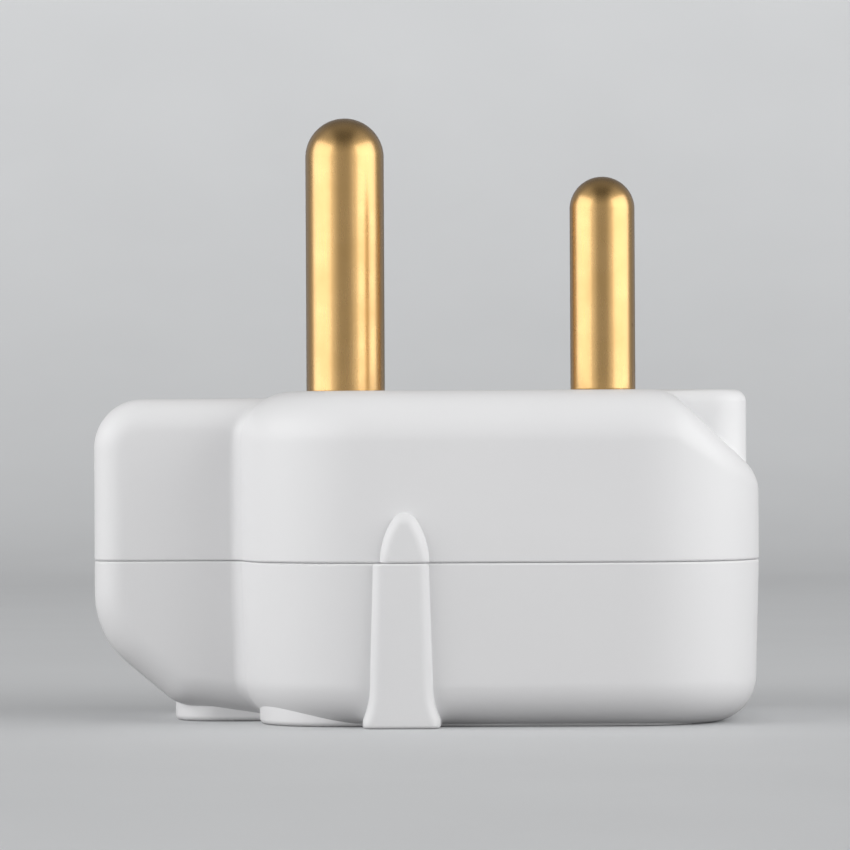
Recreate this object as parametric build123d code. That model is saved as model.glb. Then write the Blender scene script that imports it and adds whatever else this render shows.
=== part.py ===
from build123d import *
import os
from math import cos, radians, sin, tan

# A plug-in mains adapter that lies on its socket face with its pins up. Sizes are in millimetres.
# Z = 0 is the socket face, +Z is the way the pins point and -X is the earth end, which has the narrow neck.

# Housing: overall form
body_length = 72.6
body_width = 56.0
body_height = 36.0
wall = 2.4
face_wall = 3.0
parting_height = 17.6
lower_draft = 1.6
same_place = 0.01
same_angle = 1.0

# Housing: the wide part
lobe_length = 56.2
lobe_left_radius = 15.0
lobe_right_radius = 14.0
lobe_top_round = 5.5
lobe_foot_round = 5.0
shoulder_run = 9.9
shoulder_angle = 43.0
shoulder_round = 4.6

# Housing: the neck at the earth end
neck_width = 27.0
neck_drop = 0.7
neck_end_radius = 10.0
neck_top_radius = 5.4
neck_slope = 40.0
neck_flat = 5.2
neck_rise = 1.9
neck_bend_radius = 5.0
neck_edge_round = 3.6
crease_round = 1.6

# Housing: the raised pin platform, and the raised plate of the socket face with its tongue under the neck
platform_margin = 4.8
platform_length = 30.0
platform_setback = 1.3
platform_corner = 4.0
platform_edge_round = 1.4
plate_inset = 2.0
plate_side_inset = 3.6
plate_end_inset = 5.0
plate_corner_radius = 9.0
plate_height = 6.0
plate_edge_round = 0.6
tongue_width = 23.0
tongue_reach = 2.6
tongue_corner = 5.0

# Housing: the ribs on the long sides
rib_setback = 38.4
rib_foot_width = 8.3
rib_foot_height = 0.9
rib_foot_round = 1.5
rib_corner_round = 0.4
rib_flare = 4.3
rib_width = 6.7
rib_neck_width = 5.95
rib_tip_width = 5.3
rib_tip_height = 23.8
rib_tip_round = 1.5
rib_tip_shift = 0.4
rib_proud = 1.1
rib_edge_round = 1.2

# Housing: the joint between the shells
shadow_gap = 0.04
parting_round = 0.25
lip_thickness = 1.1
lip_height = 1.3
lip_clearance = 0.1

# Plug pins: these setbacks from the neck end, live end and sides give the round three-pin pattern,
# with 25.4 between the live pins and 28.58 from their line to the earth pin
earth_setback = 27.2
live_setback = 16.82
live_inset = 15.3
earth_pin_radius = 4.355
live_pin_radius = 3.53
earth_pin_length = 30.4
live_pin_length = 23.2
pin_shoulder = 1.1
pin_clearance = 0.06
rivet_head_lip = 0.9
rivet_head_height = 1.0
pin_boss_wall = 2.6

# Contact strips
strip_thickness = 0.8
strip_headroom = 0.5
strip_step = 4.8
earth_strip_width = 9.0
live_strip_width = 6.0
branch_width = 4.5
branch_bend = 5.0
strip_pad = 1.1
strip_gap = 0.85

# Three-pin socket: same pattern as the pins, set back towards the neck
socket_offset = 9.9
earth_bore_radius = 4.4
live_bore_radius = 3.55
hole_lead = 0.2
hole_chamfer = 0.6
sleeve_wall = 1.1
live_bore_depth = 19.5
sleeve_cap = 1.2
sleeve_stem_radius = 3.2
tenon_radius = 2.2
slit_width = 0.8
slit_length = 11.0
well_wall = 1.2
well_height = 5.0
well_clearance = 0.15
ring_wire_radius = 0.7
ring_groove_depth = 0.5
ring_groove_spare = 0.1
ring_height = 10.6
ring_open_angle = 40.0

# Two-pin sockets, one in each side of the wide part
two_pin_spacing = 19.0
two_pin_setback = 18.3
two_pin_inset = 8.0
two_pin_hole_radius = 2.4
clip_metal = 0.6
clip_width = 5.0
clip_gap = 4.3
clip_pinch = 0.3
clip_pinch_rise = 5.4
clip_flare = 0.7
clip_bend = 0.8
clip_foot_clearance = 0.6
guide_wall = 1.2
guide_length = 7.0
guide_height = 5.0
clip_rivet_radius = 1.0
clip_rivet_lip = 0.5
clip_rivet_head = 0.6

# Screws that hold the shells together
screw_radius = 1.45
screw_length = 16.0
screw_head_radius = 2.7
screw_head_height = 2.0
screw_sink = 12.0
screw_post_radius = 4.4
screw_hole_clearance = 0.3
screw_pilot_clearance = 0.02
screw_pilot_spare = 0.6
screw_side_inset = 9.5
screw_side_setback = 45.4
screw_end_setback = 13.8
recess_width = 0.8
recess_length = 3.0
recess_depth = 1.2

# Posts in the base that back up the sleeves and clips
backing_gap = 0.2
backing_radius = 3.2
clip_backing_radius = 2.4

# Places worked out from the sizes above
body_left = -body_length / 2
body_right = body_length / 2
half_width = body_width / 2
lobe_left = body_right - lobe_length
platform_right = body_right - platform_setback
neck_foot = lobe_left - neck_flat
tongue_left = neck_foot - tongue_reach
rib_x = body_right - rib_setback
earth_x = body_left + earth_setback
live_x = body_right - live_setback
live_y = half_width - live_inset
platform_width = 2 * (live_y + platform_margin)
earth_socket_x = earth_x - socket_offset
live_socket_x = live_x - socket_offset
clip_y = half_width - two_pin_inset
neutral_clip_x = body_right - two_pin_setback
line_clip_x = neutral_clip_x - two_pin_spacing
screw_end_x = body_right - screw_end_setback
neck_height = body_height - neck_drop
inner_top = body_height - face_wall
earth_strip_top = neck_height - face_wall - strip_headroom - rivet_head_height
earth_strip_height = earth_strip_top - strip_thickness
live_strip_height = earth_strip_height - strip_step
strip_top = live_strip_height + strip_thickness
big = 3 * body_length

BASE = (Align.CENTER, Align.CENTER, Align.MIN)


def rod(x, y, radius, low, high):
    """An upright cylinder between two heights."""
    return Pos(x, y, low) * Cylinder(radius, high - low, align=BASE)


def block(left, right, near, far, low, high):
    """A box between three pairs of planes."""
    size = Box(right - left, far - near, high - low)
    return Pos((left + right) / 2, (near + far) / 2, (low + high) / 2) * size


def slab(low, high):
    """All the space between two heights."""
    return block(-big, big, -big, big, low, high)


def edges_on(shape, normal):
    """The edges of the flat faces that look along a direction."""
    flat = shape.faces().filter_by(GeomType.PLANE)
    faces = [face for face in flat if face.normal_at().get_angle(normal) < same_angle]
    return ShapeList([edge for face in faces for edge in face.edges()])


def lobe_plan(inset):
    """The wide part's outline seen from above, shrunk by inset."""
    left = lobe_left + inset
    right = body_right - inset
    outline = Pos((left + right) / 2, 0) * Rectangle(right - left, body_width - 2 * inset)
    outline = fillet(outline.vertices().group_by(Axis.X)[0], lobe_left_radius - inset)
    return fillet(outline.vertices().group_by(Axis.X)[-1], lobe_right_radius - inset)


def lobe(inset, cap):
    """The wide part of the housing, shrunk by inset at its sides and by cap at its top and foot."""
    section = Pos(0, 0, parting_height) * lobe_plan(inset)
    upper = extrude(section, amount=body_height - cap - parting_height)
    lower = extrude(section, amount=cap - parting_height, taper=lower_draft)
    form = upper + lower
    form = fillet(edges_on(form, Vector(0, 0, 1)), lobe_top_round - inset)
    form = fillet(edges_on(form, Vector(0, 0, -1)), lobe_foot_round - inset)
    lean = radians(shoulder_angle)
    normal = Vector(sin(lean), 0, cos(lean))
    start = Vector(body_right - shoulder_run, 0, body_height) - normal * inset
    form = split(form, bisect_by=Plane(start, x_dir=(0, 1, 0), z_dir=normal), keep=Keep.BOTTOM)
    return fillet(edges_on(form, normal), shoulder_round - inset)


def neck(inset, cap):
    """The narrow end, with its curved underside, shrunk in the same way."""
    lean = radians(neck_slope)
    left = body_left + inset
    right = lobe_left + lobe_left_radius
    foot = neck_foot + inset / sin(lean)
    bend = foot - (cap + neck_rise) / tan(lean)
    profile = Polygon(
        (right, cap),
        (lobe_left + neck_flat, cap),
        (bend, cap + neck_rise),
        (left, (foot - left) * tan(lean)),
        (left, neck_height - cap),
        (right, neck_height - cap),
        align=None,
    )
    ends = profile.vertices().filter_by(lambda v: v.X < left + same_place).sort_by(Axis.Y)
    profile = fillet(ends[0], neck_end_radius - inset)
    bends = profile.vertices().filter_by(lambda v: abs(v.X - bend) < same_place)
    profile = fillet(bends, neck_bend_radius)
    top = neck_height - cap
    ends = profile.vertices().filter_by(lambda v: v.Y > top - same_place).sort_by(Axis.X)
    profile = fillet(ends[0], neck_top_radius - inset)
    form = extrude(Plane.XZ * profile, amount=neck_width / 2 - inset, both=True)
    rims = edges_on(form, Vector(0, 1, 0)) + edges_on(form, Vector(0, -1, 0))
    rims = rims.filter_by(lambda e: e.center().X < right - same_place)
    return fillet(rims, neck_edge_round - inset)


def platform(inset, cap):
    """The raised block round the live pins, which stands out of the sloped shoulder."""
    right = platform_right - inset
    left = right - platform_length
    side = platform_width / 2 - inset
    form = block(left, right, -side, side, parting_height, body_height - cap)
    corners = form.edges().filter_by(Axis.Z).group_by(Axis.X)[-1]
    form = fillet(corners, platform_corner - inset)
    rims = edges_on(form, Vector(0, 0, 1))
    rims = rims.filter_by(lambda e: e.center().X > left + platform_edge_round)
    return form if inset else fillet(rims, platform_edge_round)


def face_plate():
    """The raised plate of the socket face, which reaches out under the neck as a tongue."""
    left = lobe_left + plate_inset
    right = body_right - plate_end_inset
    wide = Pos((left + right) / 2, 0) * Rectangle(right - left, body_width - 2 * plate_side_inset)
    wide = fillet(wide.vertices(), plate_corner_radius)
    end = left + tongue_corner
    tongue = Pos((tongue_left + end) / 2, 0) * Rectangle(end - tongue_left, tongue_width)
    tongue = fillet(tongue.vertices().group_by(Axis.X)[0], tongue_corner)
    form = extrude(wide + tongue, amount=plate_height)
    return fillet(edges_on(form, Vector(0, 0, -1)), plate_edge_round)


def rib_foot():
    """The rib's face below the parting line, about its own centre line."""
    foot = rib_foot_width / 2
    middle = rib_width / 2
    top = rib_neck_width / 2
    slant = (middle - top, rib_flare - parting_height)
    flare = TangentArc((middle, rib_flare), (foot, rib_foot_height), tangent=slant)
    side = Line((middle, rib_flare), (top, parting_height))
    inner = Polyline((top, parting_height), (0, parting_height), (0, 0), (foot, 0), (foot, rib_foot_height))
    half = make_face([flare, side, inner])
    bend = half.vertices().group_by(Axis.X)[-1].sort_by(Axis.Y)[-1]
    half = fillet(bend, rib_foot_round)
    return half + mirror(half, about=Plane.YZ)


def rib_tip():
    """The rib's face above the parting line, which ends in a blunt point."""
    tip = rib_tip_width / 2
    arch = TangentArc((tip, parting_height), (0, rib_tip_height), tangent=(0, 1))
    inner = Polyline((0, rib_tip_height), (0, parting_height), (tip, parting_height))
    half = make_face([arch, inner])
    face = half + mirror(half, about=Plane.YZ)
    return Pos(rib_tip_shift, 0) * fillet(face.vertices().sort_by(Axis.Y)[-1], rib_tip_round)


def raised(face):
    """A rib part raised from the near long side, with its outer edges rounded."""
    outer = Plane.XZ.offset(half_width + rib_proud)
    form = extrude(outer * (Pos(rib_x, 0) * face), amount=-lobe_foot_round - rib_proud)
    rims = edges_on(form, Vector(0, -1, 0)).filter_by(lambda e: e.center().Z > same_place)
    rims = rims.filter_by(lambda e: abs(e.center().Z - parting_height) > same_place)
    return fillet(rims, rib_edge_round)


def ribs():
    """The two ribs, with the corners of their feet rounded."""
    lower = raised(rib_foot())
    corners = lower.edges().filter_by(Axis.Y).filter_by(lambda e: e.center().Z < same_place)
    form = fillet(corners, rib_corner_round) + raised(rib_tip())
    return form + mirror(form, about=Plane.XZ)


def housing():
    """The whole housing as one solid, before it is parted and hollowed."""
    wide = lobe(0, 0)
    narrow = neck(0, 0)
    form = wide + narrow
    creases = new_edges(wide, narrow, combined=form).filter_by(Axis.Z)
    form = fillet(creases, crease_round)
    return form + platform(0, 0) + face_plate() + ribs()


def plan(inset):
    """The housing's outline at the parting line, shrunk by inset."""
    left = body_left + inset
    right = lobe_left + lobe_left_radius
    end = Pos((left + right) / 2, 0) * Rectangle(right - left, neck_width - 2 * inset)
    end = fillet(end.vertices().group_by(Axis.X)[0], neck_edge_round - inset)
    return lobe_plan(inset) + end


def lip(clearance):
    """The rim on the socket cover that seats in the base, as a full plate, grown by a clearance."""
    low = parting_height - shadow_gap / 2
    plate = Pos(0, 0, low) * plan(wall - lip_thickness - clearance)
    return extrude(plate, amount=lip_height + shadow_gap / 2)


def screw_places():
    """Where the housing screws stand, in plan."""
    side_x = body_right - screw_side_setback
    side_y = half_width - screw_side_inset
    return [(side_x, -side_y), (side_x, side_y), (screw_end_x, 0)]


def clip_places():
    """The two-pin contacts by node name."""
    return {
        "near_line_clip": (line_clip_x, -clip_y),
        "near_neutral_clip": (neutral_clip_x, -clip_y),
        "far_line_clip": (line_clip_x, clip_y),
        "far_neutral_clip": (neutral_clip_x, clip_y),
    }


def pin_seats():
    """Each plug pin's place, radius, length and the underside of its strip."""
    return {
        "earth_pin": (earth_x, 0, earth_pin_radius, earth_pin_length, earth_strip_height),
        "line_pin": (live_x, -live_y, live_pin_radius, live_pin_length, live_strip_height),
        "neutral_pin": (live_x, live_y, live_pin_radius, live_pin_length, live_strip_height),
    }


def sleeve_seats():
    """Each socket sleeve's place, bore, bore depth and the underside of its strip."""
    live = (live_bore_radius, live_bore_depth, live_strip_height)
    earth = (earth_bore_radius, earth_strip_height - sleeve_cap, earth_strip_height)
    return {
        "earth_sleeve": (earth_socket_x, 0, *earth),
        "line_sleeve": (live_socket_x, -live_y, *live),
        "neutral_sleeve": (live_socket_x, live_y, *live),
    }


def hole(x, y, radius):
    """A socket hole through the cover's face, with a lead-in."""
    mouth = Pos(x, y, 0) * Cone(radius + hole_chamfer, radius, hole_chamfer, align=BASE)
    return rod(x, y, radius, -face_wall, 2 * face_wall) + mouth


def clip_guides(x, y):
    """Two low walls that keep a two-pin clip in line with its hole."""
    inner = clip_width / 2 + well_clearance
    near = y - guide_length / 2
    far = y + guide_length / 2
    top = face_wall + guide_height
    left = block(x - inner - guide_wall, x - inner, near, far, face_wall / 2, top)
    right = block(x + inner, x + inner + guide_wall, near, far, face_wall / 2, top)
    return left + right


def socket_cover(body, hollow):
    """The shell on the socket side, with its wells, posts, guides and holes."""
    form = body & slab(-face_wall, parting_height - shadow_gap / 2)
    form = fillet(edges_on(form, Vector(0, 0, 1)), parting_round)
    form = form + lip(0) - hollow
    for x, y in clip_places().values():
        form += clip_guides(x, y)
        form -= hole(x, y, two_pin_hole_radius)
    for x, y, bore, _, _ in sleeve_seats().values():
        seat = bore + sleeve_wall + well_clearance
        form += rod(x, y, seat + well_wall, face_wall / 2, face_wall + well_height)
        form -= rod(x, y, seat, face_wall, parting_height)
        form -= hole(x, y, bore + hole_lead)
    for x, y in screw_places():
        form += rod(x, y, screw_post_radius, face_wall / 2, parting_height)
        pilot_low = body_height - screw_sink - screw_length - screw_pilot_spare
        form -= rod(x, y, screw_radius + screw_pilot_clearance, pilot_low, parting_height + lip_height)
    return form


def base_shell(body, hollow):
    """The shell on the pin side, with its pin bosses, backing posts and screw posts."""
    form = body & slab(parting_height + shadow_gap / 2, 2 * body_height)
    form = fillet(edges_on(form, Vector(0, 0, -1)), parting_round)
    form = form - lip(lip_clearance) - hollow
    root = inner_top + face_wall / 2
    for x, y, radius, _, strip_low in pin_seats().values():
        shank = radius - pin_shoulder
        form += rod(x, y, shank + pin_boss_wall, strip_low + strip_thickness, root)
        form -= rod(x, y, shank + pin_clearance, parting_height, 2 * body_height)
    for name in ("line_sleeve", "neutral_sleeve"):
        x, y = sleeve_seats()[name][:2]
        form += rod(x, y, backing_radius, strip_top + rivet_head_height + backing_gap, root)
    for x, y in clip_places().values():
        form += rod(x, y, clip_backing_radius, strip_top + clip_rivet_head + backing_gap, root)
    floor = body_height - screw_sink
    for x, y in screw_places():
        form += rod(x, y, screw_post_radius, parting_height, root)
        form -= rod(x, y, screw_radius + screw_hole_clearance, 0, 2 * body_height)
        form -= rod(x, y, screw_head_radius + screw_hole_clearance, floor, 2 * body_height)
    return form


def plug_pin(x, y, radius, length, strip_low):
    """A turned pin: domed blade, shank through the base and a head peened over under the strip."""
    shank = radius - pin_shoulder
    head_low = strip_low - rivet_head_height
    blade = rod(x, y, radius, body_height, body_height + length - radius)
    dome = Pos(x, y, body_height + length - radius) * Sphere(radius, arc_size1=0, align=BASE)
    head = rod(x, y, shank + rivet_head_lip, head_low, strip_low)
    head = fillet(head.edges().group_by(Axis.Z)[0], rivet_head_height / 2)
    return blade + dome + rod(x, y, shank, strip_low, body_height) + head


def sleeve(x, y, bore, depth, strip_low):
    """A turned socket sleeve: slit at its mouth, grooved for its ring and peened over above the strip."""
    outer = bore + sleeve_wall
    top = strip_low + strip_thickness
    form = rod(x, y, outer, face_wall, depth + sleeve_cap)
    form += rod(x, y, sleeve_stem_radius, depth + sleeve_cap / 2, strip_low)
    form += rod(x, y, tenon_radius, strip_low, top)
    head = rod(x, y, tenon_radius + rivet_head_lip, top, top + rivet_head_height)
    form += fillet(head.edges().group_by(Axis.Z)[-1], rivet_head_height / 2)
    form -= rod(x, y, bore, 0, depth)
    groove_low = ring_height - ring_wire_radius - ring_groove_spare
    groove_high = ring_height + ring_wire_radius + ring_groove_spare
    form -= rod(x, y, 2 * outer, groove_low, groove_high) - rod(x, y, outer - ring_groove_depth, 0, depth)
    slit_top = face_wall + slit_length
    form -= block(x - slit_width / 2, x + slit_width / 2, y - 2 * outer, y + 2 * outer, 0, slit_top)
    form -= block(x - 2 * outer, x + 2 * outer, y - slit_width / 2, y + slit_width / 2, 0, slit_top)
    return form


def spring_ring(x, y, bore):
    """An open ring of round wire in a sleeve's groove."""
    centre = bore + sleeve_wall - ring_groove_depth + ring_wire_radius
    wire = Plane.XZ * (Pos(centre, 0) * Circle(ring_wire_radius))
    ring = revolve(wire, axis=Axis.Z, revolution_arc=360 - ring_open_angle)
    return Pos(x, y, ring_height) * Rot(0, 0, ring_open_angle / 2) * ring


def bar(points, width, bend=0):
    """A flat strip of even width along a path, with round ends."""
    path = FilletPolyline(*points, radius=bend) if bend else Polyline(*points)
    ends = [Pos(*points[0]) * Circle(width / 2), Pos(*points[-1]) * Circle(width / 2)]
    return trace(path, width) + ends


def strip(face, holes, low):
    """A stamped strip: its outline with a pad and a hole at each rivet."""
    for x, y, radius in holes:
        face += Pos(x, y) * Circle(radius + strip_pad)
    for x, y, radius in holes:
        face -= Pos(x, y) * Circle(radius + pin_clearance)
    return extrude(Pos(0, 0, low) * face, amount=strip_thickness)


def strips():
    """The three contact strips by node name."""
    live_shank = live_pin_radius - pin_shoulder
    earth_shank = earth_pin_radius - pin_shoulder
    places = clip_places()
    earth = strip(
        bar([(earth_socket_x, 0), (earth_x, 0)], earth_strip_width),
        [(earth_x, 0, earth_shank), (earth_socket_x, 0, tenon_radius)],
        earth_strip_height,
    )
    line = strip(
        bar([(live_x, -live_y), (line_clip_x, -live_y)], live_strip_width)
        + bar([(line_clip_x, -clip_y), (line_clip_x, clip_y)], branch_width),
        [
            (live_x, -live_y, live_shank),
            (live_socket_x, -live_y, tenon_radius),
            (*places["near_line_clip"], clip_rivet_radius),
            (*places["far_line_clip"], clip_rivet_radius),
        ],
        live_strip_height,
    )
    run_x = screw_end_x + screw_post_radius + strip_gap + branch_width / 2
    around = [(live_x, live_y), (run_x, live_y), (run_x, -clip_y), (neutral_clip_x, -clip_y)]
    neutral = strip(
        bar([(live_socket_x, live_y), (live_x, live_y)], live_strip_width)
        + bar([(neutral_clip_x, live_y), (neutral_clip_x, clip_y)], branch_width)
        + bar(around, branch_width, branch_bend),
        [
            (live_x, live_y, live_shank),
            (live_socket_x, live_y, tenon_radius),
            (*places["near_neutral_clip"], clip_rivet_radius),
            (*places["far_neutral_clip"], clip_rivet_radius),
        ],
        live_strip_height,
    )
    return {"earth_strip": earth, "line_strip": line, "neutral_strip": neutral}


def spring_clip(x, y):
    """A folded clip that hangs from a strip: two leaves that pinch a round pin and flare at the mouth."""
    web = live_strip_height - clip_metal / 2
    mouth = face_wall + clip_foot_clearance
    straight = (clip_gap + clip_metal) / 2
    pinch_z = mouth + clip_pinch_rise
    leaf = [
        (straight + clip_flare, mouth),
        (straight - clip_pinch, pinch_z),
        (straight + clip_pinch, (pinch_z + web) / 2),
        (straight, web),
    ]
    points = leaf + [(-across, z) for across, z in reversed(leaf)]
    path = FilletPolyline(*points, radius=clip_bend)
    form = extrude(Plane.YZ * trace(path, clip_metal), amount=clip_width / 2, both=True)
    return Pos(x, y, 0) * form - rod(x, y, clip_rivet_radius + pin_clearance, web - clip_metal, strip_top)


def clip_rivet(x, y):
    """A small rivet through a clip's web and its strip."""
    low = live_strip_height - clip_metal
    head = clip_rivet_radius + clip_rivet_lip
    form = rod(x, y, clip_rivet_radius, low, strip_top)
    form += rod(x, y, head, strip_top, strip_top + clip_rivet_head)
    return form + rod(x, y, head, low - clip_rivet_head, low)


def screw(x, y):
    """A self-tapping screw with a cross recess, its thread left plain."""
    seat = body_height - screw_sink
    top = seat + screw_head_height
    head = rod(x, y, screw_head_radius, seat, top)
    head = fillet(head.edges().group_by(Axis.Z)[-1], screw_head_height / 2)
    form = head + rod(x, y, screw_radius, seat - screw_length, seat)
    for across, along in ((recess_width, recess_length), (recess_length, recess_width)):
        form -= block(x - across / 2, x + across / 2, y - along / 2, y + along / 2, top - recess_depth, top)
    return form


def nodes():
    """Every piece by its node name."""
    body = housing()
    hollow = lobe(wall, face_wall) + neck(wall, face_wall) + platform(wall, face_wall)
    pieces = {"base_shell": base_shell(body, hollow), "socket_cover": socket_cover(body, hollow)}
    for name, seat in pin_seats().items():
        pieces[name] = plug_pin(*seat)
    pieces.update(strips())
    for name, seat in sleeve_seats().items():
        pieces[name] = sleeve(*seat)
        pieces[name.replace("sleeve", "spring_ring")] = spring_ring(*seat[:3])
    for name, place in clip_places().items():
        pieces[name] = spring_clip(*place)
    pieces["clip_rivets"] = Compound(children=[clip_rivet(*place) for place in clip_places().values()])
    pieces["housing_screws"] = Compound(children=[screw(*place) for place in screw_places()])
    return pieces


os.makedirs("parts", exist_ok=True)
for name, piece in nodes().items():
    export_step(piece, f"parts/{name}.step")
    print(name, len(piece.solids()), round(piece.volume, 1))
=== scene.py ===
# %% [markdown]
# # A three-pin multi-socket adapter
# A white moulded adapter lies on its socket face with three round brass pins pointing up. The housing is
# two shells that meet at a fine parting line: a wide part with a sloped shoulder, and a narrow neck whose
# underside curves up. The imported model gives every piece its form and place. This lesson gives the pieces
# their finish, turns the pins finely enough for their highlights, and sets up the floor, the light and the
# camera. Lengths are in metres, and MM is one millimetre.

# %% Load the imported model
import math

import bmesh
import bpy
from mathutils import Matrix, Vector


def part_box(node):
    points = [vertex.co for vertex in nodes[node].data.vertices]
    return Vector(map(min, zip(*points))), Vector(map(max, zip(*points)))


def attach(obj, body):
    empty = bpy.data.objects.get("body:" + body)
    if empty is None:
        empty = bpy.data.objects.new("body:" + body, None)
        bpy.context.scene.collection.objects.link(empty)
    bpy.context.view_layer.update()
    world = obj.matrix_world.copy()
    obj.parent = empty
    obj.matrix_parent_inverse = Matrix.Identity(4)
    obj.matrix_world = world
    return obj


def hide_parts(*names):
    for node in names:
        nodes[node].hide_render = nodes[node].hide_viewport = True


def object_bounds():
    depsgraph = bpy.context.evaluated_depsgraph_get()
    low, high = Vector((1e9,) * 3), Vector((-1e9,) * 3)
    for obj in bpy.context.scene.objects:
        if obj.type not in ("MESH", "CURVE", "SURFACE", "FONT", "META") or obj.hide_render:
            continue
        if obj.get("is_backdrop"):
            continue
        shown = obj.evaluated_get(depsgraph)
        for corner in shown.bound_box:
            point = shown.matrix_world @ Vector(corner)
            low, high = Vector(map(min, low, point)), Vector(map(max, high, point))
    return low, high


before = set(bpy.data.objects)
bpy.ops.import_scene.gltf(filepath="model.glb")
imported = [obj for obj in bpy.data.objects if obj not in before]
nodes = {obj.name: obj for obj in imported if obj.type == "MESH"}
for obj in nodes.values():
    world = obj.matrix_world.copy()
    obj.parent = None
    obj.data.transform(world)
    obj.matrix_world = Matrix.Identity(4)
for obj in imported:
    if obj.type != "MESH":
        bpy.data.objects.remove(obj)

cad_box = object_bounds()
MM = 0.001
print("pieces in the packed model:", len(nodes))
print("outer sizes in mm:", [round((high - low) / MM, 1) for low, high in zip(*cad_box)])

# %% [markdown]
# ## From a working mesh to a piece
# Every new piece is built with bmesh operators, in the place it has in the model, so its object stays at
# the origin. One function turns the working mesh into an object and shades it smooth. Edges where two faces
# meet at a steep angle are marked sharp, so that flats stay flat and rounds stay round. Another lets large
# faces set the shading near them. A new piece then rides on the rigid body and stands in for the packed
# piece it is made from.

# %% Make pieces
FACE_WEIGHT = 60


def finish_mesh(shape, name, sharp_angle):
    for face in shape.faces:
        face.smooth = True
    for edge in shape.edges:
        edge.smooth = len(edge.link_faces) == 2 and edge.calc_face_angle() < sharp_angle
    mesh = bpy.data.meshes.new(name)
    shape.to_mesh(mesh)
    shape.free()
    piece = bpy.data.objects.new(name, mesh)
    bpy.context.scene.collection.objects.link(piece)
    return piece


def weigh_normals(piece):
    weighting = piece.modifiers.new("even shading", "WEIGHTED_NORMAL")
    weighting.mode = "FACE_AREA_WITH_ANGLE"
    weighting.weight = FACE_WEIGHT
    weighting.keep_sharp = True


print("pieces are shaded smooth, with sharp edges kept by their angle")

# %% [markdown]
# ## The two shells
# The housing is moulded in two shells from a hard white plastic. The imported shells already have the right
# form, but as loose triangles, which shade as flat facets. Each one is copied, its doubled points are
# merged, and the copy is shaded by the size of its faces, so the large flat walls keep a true direction
# right up to the rounded edges. Modelling the shells again would only risk a form that no longer fits the
# pins and the contacts inside.

# %% Smooth the shells
MERGE = 0.002 * MM
SHELL_SHARP = math.radians(24)


def smooth_copy(node):
    shape = bmesh.new()
    shape.from_mesh(nodes[node].data)
    bmesh.ops.remove_doubles(shape, verts=shape.verts, dist=MERGE)
    bmesh.ops.dissolve_degenerate(shape, dist=MERGE, edges=shape.edges)
    bmesh.ops.recalc_face_normals(shape, faces=shape.faces)
    piece = finish_mesh(shape, f"{node}_moulding", SHELL_SHARP)
    weigh_normals(piece)
    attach(piece, "root")
    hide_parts(node)
    return piece


shells = [smooth_copy("base_shell"), smooth_copy("socket_cover")]
for shell in shells:
    print(shell.name, "has", len(shell.data.polygons), "faces")

# %% [markdown]
# ## The pins
# The three pins are turned from brass rod: a straight blade with a round end, a shank that goes through the
# housing and a head peened over under the contact strip. Turning means that one half-profile, spun round
# the pin's axis, gives the whole form, so that is how they are made here: a profile, a spin in many fine
# steps and a bevel at the blade's foot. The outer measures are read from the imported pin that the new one
# stands for, and the steps from the blade to the shank and from the shank to the head are those of the
# packed pins.

# %% Turn the pins
TURN_STEPS = 128
DOME_STEPS = 20
HEAD_STEPS = 6
FOOT_EDGE = 0.15 * MM
FOOT_STEPS = 3
SHANK_STEP = 1.1 * MM
HEAD_STEP = 0.9 * MM
PIN_SHARP = math.radians(40)


def quarter_round(across, up, radius, start, steps):
    turns = [start + math.pi / 2 * step / steps for step in range(steps + 1)]
    return [(across + radius * math.cos(turn), up + radius * math.sin(turn)) for turn in turns]


def pin_profile(radius, shank, head, levels):
    head_low, strip_low, foot, tip = levels
    head_round = (strip_low - head_low) / 2
    points = [(0, head_low)]
    points += quarter_round(head - head_round, head_low + head_round, head_round, -math.pi / 2, HEAD_STEPS)
    points += [(head, strip_low), (shank, strip_low), (shank, foot), (radius, foot)]
    points += quarter_round(0, tip - radius, radius, 0, DOME_STEPS)
    return points


def turn_pin(node):
    low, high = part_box(node)
    centre = (low + high) / 2
    radius = (high.x - low.x) / 2
    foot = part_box("base_shell")[1].z
    strip_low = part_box(node.replace("pin", "strip"))[0].z
    shank = radius - SHANK_STEP
    points = pin_profile(radius, shank, shank + HEAD_STEP, (low.z, strip_low, foot, high.z))
    shape = bmesh.new()
    corners = [shape.verts.new((centre.x + across, centre.y, up)) for across, up in points]
    path = [shape.edges.new(pair) for pair in zip(corners, corners[1:])]
    bmesh.ops.spin(
        shape, geom=corners + path, cent=centre, axis=(0, 0, 1), dvec=(0, 0, 0),
        angle=2 * math.pi, steps=TURN_STEPS, use_merge=True,
    )
    bmesh.ops.remove_doubles(shape, verts=shape.verts, dist=MERGE)
    rim = [
        edge for edge in shape.edges
        if all(abs(v.co.z - foot) < MERGE for v in edge.verts)
        and all(abs((v.co.xy - centre.xy).length - radius) < MERGE for v in edge.verts)
    ]
    bmesh.ops.bevel(
        shape, geom=rim, offset=FOOT_EDGE, offset_type="OFFSET", segments=FOOT_STEPS, profile=0.5,
        affect="EDGES", material=-1, clamp_overlap=True,
    )
    bmesh.ops.recalc_face_normals(shape, faces=shape.faces)
    piece = finish_mesh(shape, f"turned_{node}", PIN_SHARP)
    weigh_normals(piece)
    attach(piece, "root")
    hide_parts(node)
    return piece


pins = [turn_pin(node) for node in ("earth_pin", "line_pin", "neutral_pin")]
for pin in pins:
    thick, _, tall = (round(side / MM, 2) for side in pin.dimensions)
    print(pin.name, "is", thick, "mm thick and", tall, "mm long")

# %% [markdown]
# ## Shader arithmetic
# Each finish is a small network of nodes. Writing it as arithmetic keeps it readable: a Wire stands for one
# output socket, and adding, subtracting or multiplying wires adds the matching Math node. Every other node
# comes from one method of the finish, which sets the node's settings first and then its sockets.

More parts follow.
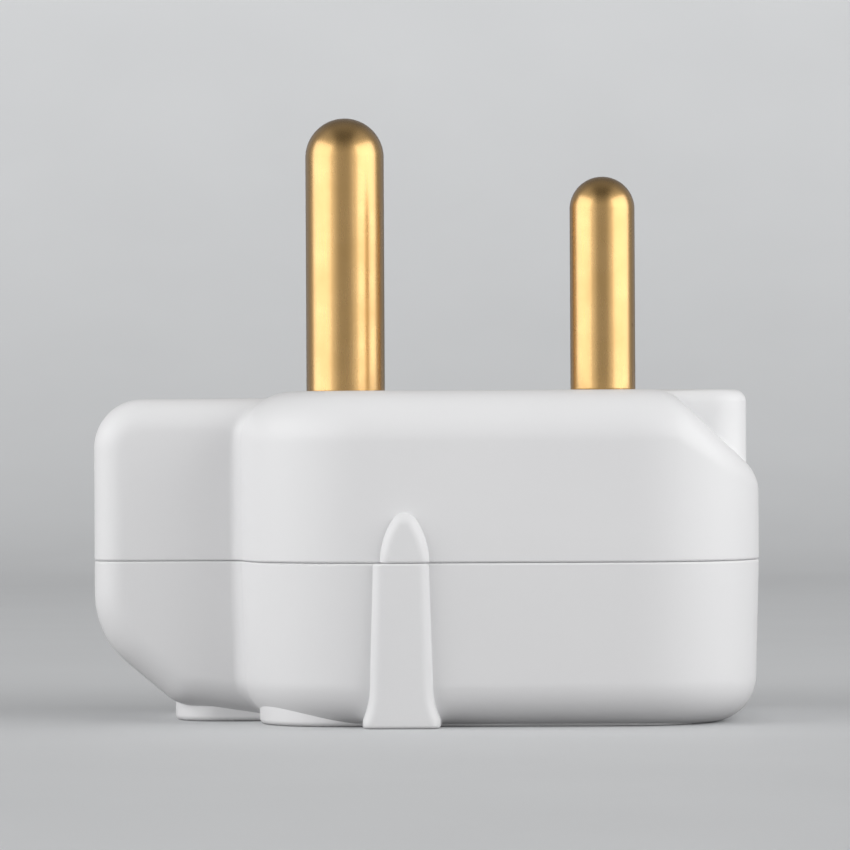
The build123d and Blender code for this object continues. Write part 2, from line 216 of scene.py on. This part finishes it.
# %% Write finishes as expressions
class Wire:
    def __init__(self, finish, socket):
        self.finish = finish
        self.socket = socket

    def maths(self, operation, first, second):
        return self.finish.add("ShaderNodeMath", {"operation": operation}, {0: first, 1: second})

    def __add__(self, other):
        return self.maths("ADD", self, other)

    def __radd__(self, other):
        return self.maths("ADD", other, self)

    def __sub__(self, other):
        return self.maths("SUBTRACT", self, other)

    def __rsub__(self, other):
        return self.maths("SUBTRACT", other, self)

    def __mul__(self, other):
        return self.maths("MULTIPLY", self, other)

    def __rmul__(self, other):
        return self.maths("MULTIPLY", other, self)


class Finish:
    def __init__(self, owner):
        owner.use_nodes = True
        self.owner = owner
        self.tree = owner.node_tree
        self.tree.nodes.clear()

    def add(self, kind, settings=None, sockets=None, output=0):
        node = self.tree.nodes.new(kind)
        for key, value in (settings or {}).items():
            setattr(node, key, value)
        for key, value in (sockets or {}).items():
            if isinstance(value, Wire):
                self.tree.links.new(value.socket, node.inputs[key])
            else:
                node.inputs[key].default_value = value
        return Wire(self, node.outputs[output]) if node.outputs else None

    def place(self, stretch=(1, 1, 1)):
        here = self.add("ShaderNodeTexCoord", output="Object")
        return self.add("ShaderNodeMapping", {}, {"Vector": here, "Scale": stretch})

    def noise(self, where, scale, detail):
        return self.add("ShaderNodeTexNoise", {}, {"Vector": where, "Scale": scale, "Detail": detail})

    def blend(self, factor, first, second):
        sockets = {"Factor": factor, 6: first, 7: second}
        return self.add("ShaderNodeMix", {"data_type": "RGBA"}, sockets, output=2)

    def bump(self, height, strength, distance):
        sockets = {"Height": height, "Strength": strength, "Distance": distance}
        return self.add("ShaderNodeBump", {}, sockets)

    def fade(self, value, span, levels):
        sockets = {
            "Value": value, "From Min": span[0], "From Max": span[1],
            "To Min": levels[0], "To Max": levels[1],
        }
        return self.add("ShaderNodeMapRange", {"interpolation_type": "SMOOTHSTEP"}, sockets)

    def surface(self, shader):
        self.add("ShaderNodeOutputMaterial", {}, {"Surface": shader})
        return self.owner


def dress(piece, material):
    piece.data.materials.clear()
    piece.data.materials.append(material)


print("finishes are written as arithmetic on wires")

# %% [markdown]
# ## White plastic
# The shells are moulded in a hard white plastic with a fine satin grain, left by the spark-eroded mould.
# The grain is a very shallow bump of two sizes, and the gloss and the white both drift slightly over the
# walls, as they do where the plastic cooled at different speeds. An image would give a fixed grain that
# stretches round the corners, so the grain is computed in the object's own space instead.

# %% Finish the shells
def white_plastic():
    finish = Finish(bpy.data.materials.new("white satin plastic"))
    here = finish.place()
    drift = finish.noise(here, scale=55.0, detail=3.0)
    grain = finish.noise(here, scale=5200.0, detail=2.0)
    swell = finish.noise(here, scale=900.0, detail=2.0)
    colour = finish.blend(drift, (0.80, 0.80, 0.81, 1), (0.84, 0.84, 0.845, 1))
    gloss = 0.36 + drift * 0.06 + grain * 0.06
    relief = finish.bump(grain * 0.7 + swell * 0.3, strength=0.12, distance=0.04 * MM)
    return finish.surface(finish.add("ShaderNodeBsdfPrincipled", {}, {
        "Base Color": colour, "Roughness": gloss, "Normal": relief,
        "IOR": 1.5, "Specular IOR Level": 0.45,
    }))


plastic = white_plastic()
for shell in shells:
    dress(shell, plastic)
for node in ("base_shell", "socket_cover"):
    nodes[node].material_slots[0].material = plastic
print("shells dressed in", plastic.name)

# %% [markdown]
# ## Turned and stamped brass
# The pins are polished along their length after turning, which leaves fine lines and a slightly cloudy
# shine, so the reflected lights show as soft upright bands. The lines are noise stretched along the pin.
# Inside, the strips, sleeves, clips and rivets are left unpolished, so they are paler and duller.

# %% Finish the brass
def brass(name, pale, deep, base_gloss, line_height):
    finish = Finish(bpy.data.materials.new(name))
    here = finish.place()
    along = finish.place((1, 1, 0.02))
    cloud = finish.noise(here, scale=260.0, detail=4.0)
    lines = finish.noise(along, scale=2600.0, detail=3.0)
    speck = finish.noise(here, scale=2200.0, detail=2.0)
    colour = finish.blend(cloud, pale, deep)
    gloss = base_gloss + cloud * 0.12 + lines * 0.08
    relief = finish.bump(lines * 0.6 + speck * 0.4, strength=0.25, distance=line_height)
    return finish.surface(finish.add("ShaderNodeBsdfPrincipled", {}, {
        "Base Color": colour, "Roughness": gloss, "Normal": relief, "Metallic": 1.0,
        "Coat Weight": 0.65, "Coat Roughness": 0.2, "Coat IOR": 1.5,
    }))


pin_brass = brass(
    "polished pin brass", pale=(0.55, 0.345, 0.138, 1), deep=(0.44, 0.265, 0.086, 1),
    base_gloss=0.18, line_height=0.02 * MM,
)
strip_brass = brass(
    "pressed brass", pale=(0.74, 0.53, 0.22, 1), deep=(0.66, 0.46, 0.18, 1),
    base_gloss=0.30, line_height=0.03 * MM,
)
for pin in pins:
    dress(pin, pin_brass)
for node, piece in nodes.items():
    if node.endswith(("strip", "sleeve", "clip", "rivets")):
        piece.material_slots[0].material = strip_brass
    if node.endswith("pin"):
        piece.material_slots[0].material = pin_brass
print("brass finishes:", pin_brass.name, "and", strip_brass.name)

# %% [markdown]
# ## Steel
# The rings round the socket sleeves are spring wire, and the screws are zinc-plated steel. Both are grey
# metal with faint streaks. They sit deep in the housing, so a single finish serves for both.

# %% Finish the steel
def steel():
    finish = Finish(bpy.data.materials.new("plated steel"))
    here = finish.place((1, 1, 0.2))
    streak = finish.noise(here, scale=1500.0, detail=3.0)
    colour = finish.blend(streak, (0.60, 0.61, 0.63, 1), (0.48, 0.49, 0.51, 1))
    return finish.surface(finish.add("ShaderNodeBsdfPrincipled", {}, {
        "Base Color": colour, "Roughness": 0.28 + streak * 0.14, "Metallic": 1.0,
    }))


plated = steel()
for node, piece in nodes.items():
    if node.endswith(("spring_ring", "screws")):
        piece.material_slots[0].material = plated
print("steel finish:", plated.name)

# %% [markdown]
# ## Floor and backdrop
# The adapter lies on a pale table that sweeps up into a backdrop. One bent sheet does both: a strip of
# points across the floor and up the wall, with a wide curve between them, extruded sideways. Its colour is
# told apart by ray: the camera sees it pale, while the light it throws back on the plastic is kept low, so
# that the rounded foot of the housing falls off into shade. The sheet is kept narrow, so that the pins
# mirror the lights beside it instead of the table.

# %% Stage the object
FLOOR_FRONT = -0.45
WALL_BACK = 0.9
WALL_HEIGHT = 1.4
BEND_RADIUS = 0.35
BEND_STEPS = 16
HALF_WIDTH = 0.4
TABLE_SHARP = math.radians(60)


def sweep():
    shape = bmesh.new()
    points = [(FLOOR_FRONT, 0.0)]
    points += quarter_round(WALL_BACK - BEND_RADIUS, BEND_RADIUS, BEND_RADIUS, -math.pi / 2, BEND_STEPS)
    points += [(WALL_BACK, WALL_HEIGHT)]
    corners = [shape.verts.new((-HALF_WIDTH, y, z)) for y, z in points]
    edges = [shape.edges.new(pair) for pair in zip(corners, corners[1:])]
    out = bmesh.ops.extrude_edge_only(shape, edges=edges)
    moved = [item for item in out["geom"] if isinstance(item, bmesh.types.BMVert)]
    bmesh.ops.translate(shape, verts=moved, vec=(2 * HALF_WIDTH, 0, 0))
    bmesh.ops.recalc_face_normals(shape, faces=shape.faces)
    return finish_mesh(shape, "table_and_backdrop", TABLE_SHARP)


def table_finish():
    finish = Finish(bpy.data.materials.new("pale table"))
    here = finish.place()
    mottle = finish.noise(here, scale=30.0, detail=3.0)
    seen = finish.add("ShaderNodeLightPath", output="Is Camera Ray")
    pale = finish.blend(mottle, (0.66, 0.67, 0.68, 1), (0.70, 0.71, 0.72, 1))
    shade = finish.blend(mottle, (0.21, 0.21, 0.215, 1), (0.23, 0.23, 0.235, 1))
    return finish.surface(finish.add("ShaderNodeBsdfPrincipled", {}, {
        "Base Color": finish.blend(seen, shade, pale), "Roughness": 0.6 + mottle * 0.1,
        "Specular IOR Level": 0.25,
    }))


table = sweep()
dress(table, table_finish())
table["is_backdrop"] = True
print("table and backdrop:", len(table.data.polygons), "faces")

# %% [markdown]
# ## Light
# The bright bands on the pins come from two large soft lights, one on each side, and from a surround that
# is bright on both sides as well. Towards the camera it is dimmer, which gives the dark band down the
# middle of each pin. Behind the object it is dimmer still, so that the pins' edges stay dark, and it fades
# with height, so that the top keeps its form. Only a soft glow high up behind is left, which shows on the
# domed ends of the pins.

# %% Light the object
LIGHT_TARGET = Vector((0, 0, 0.03))
LIGHT_DISTANCE = 0.9
LIGHT_SIZE = (1.15, 0.85)
LIGHT_RISE = math.radians(12)
FRONT_GLOW = 0.42


def soft_light(name, azimuth, power):
    data = bpy.data.lights.new(name, "AREA")
    data.shape = "RECTANGLE"
    data.size, data.size_y = LIGHT_SIZE
    data.energy = power
    turn, level = math.radians(azimuth), math.cos(LIGHT_RISE)
    way = Vector((math.sin(turn) * level, -math.cos(turn) * level, math.sin(LIGHT_RISE)))
    facing = way.to_track_quat("Z", "Y").to_matrix().to_4x4()
    lamp = bpy.data.objects.new(name, data)
    lamp.matrix_world = Matrix.Translation(LIGHT_TARGET + way * LIGHT_DISTANCE) @ facing
    bpy.context.scene.collection.objects.link(lamp)
    return lamp


def studio_surround():
    surround = Finish(bpy.data.worlds.new("studio surround"))
    way = surround.add("ShaderNodeTexCoord", output="Generated")
    across, ahead, above = (
        surround.add("ShaderNodeSeparateXYZ", {}, {"Vector": way}, output=axis) for axis in ("X", "Y", "Z")
    )
    aside = surround.fade(across * across, span=(0.04, 0.27), levels=(0.25, 1.2))
    front = surround.fade(ahead, span=(-0.1, 0.5), levels=(1.0, 0.25))
    behind = surround.fade(ahead, span=(-0.9, 0.2), levels=(0.0, 0.32))
    height = above * above
    strength = (aside + ahead * ahead * FRONT_GLOW) * front * (1.0 - height) + height * behind
    glow = surround.add("ShaderNodeBackground", {}, {"Color": (1, 1, 1, 1), "Strength": strength})
    surround.add("ShaderNodeOutputWorld", {}, {"Surface": glow})
    return surround.owner


lamps = [
    soft_light("left softbox", azimuth=-72, power=5.5),
    soft_light("right softbox", azimuth=72, power=6.15),
]
bpy.context.scene.world = studio_surround()
bpy.context.scene.view_settings.view_transform = "Standard"
print("lights:", [lamp.name for lamp in lamps])

# %% [markdown]
# ## Camera
# The adapter is seen square on from its long side with a long lens, at a height a little below its pin
# face. The camera stands slightly towards the live end, so that the near live pin covers the far one.

# %% Place the camera
EYE = Vector((19.1, -640.0, 32.28)) * MM
AIM = Vector((-0.3, 0.0, 32.28)) * MM
LENS_MM = 244.0
SENSOR_MM = 36.0
ROLL = math.radians(-0.3)
view = bpy.data.cameras.new("camera")
view.lens = LENS_MM
view.sensor_width = SENSOR_MM
view.dof.use_dof = False
camera = bpy.data.objects.new("camera", view)
aim = (AIM - EYE).to_track_quat("-Z", "Y").to_matrix().to_4x4()
camera.matrix_world = Matrix.Translation(EYE) @ aim @ Matrix.Rotation(ROLL, 4, "Z")
bpy.context.scene.collection.objects.link(camera)
bpy.context.scene.camera = camera
print("camera stands", round((AIM - EYE).length, 3), "m away")

# %% [markdown]
# ## Sizes at the finish
# The finished pieces stay within the imported model's box. Both boxes are gathered in one table, and the
# finished sizes are printed to set beside the imported ones.

# %% Gather the sizes
size = {"cad": [list(corner) for corner in cad_box], "visual": [list(corner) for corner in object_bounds()]}
print("finished sizes in mm:", [round((high - low) / MM, 1) for low, high in zip(*size["visual"])])
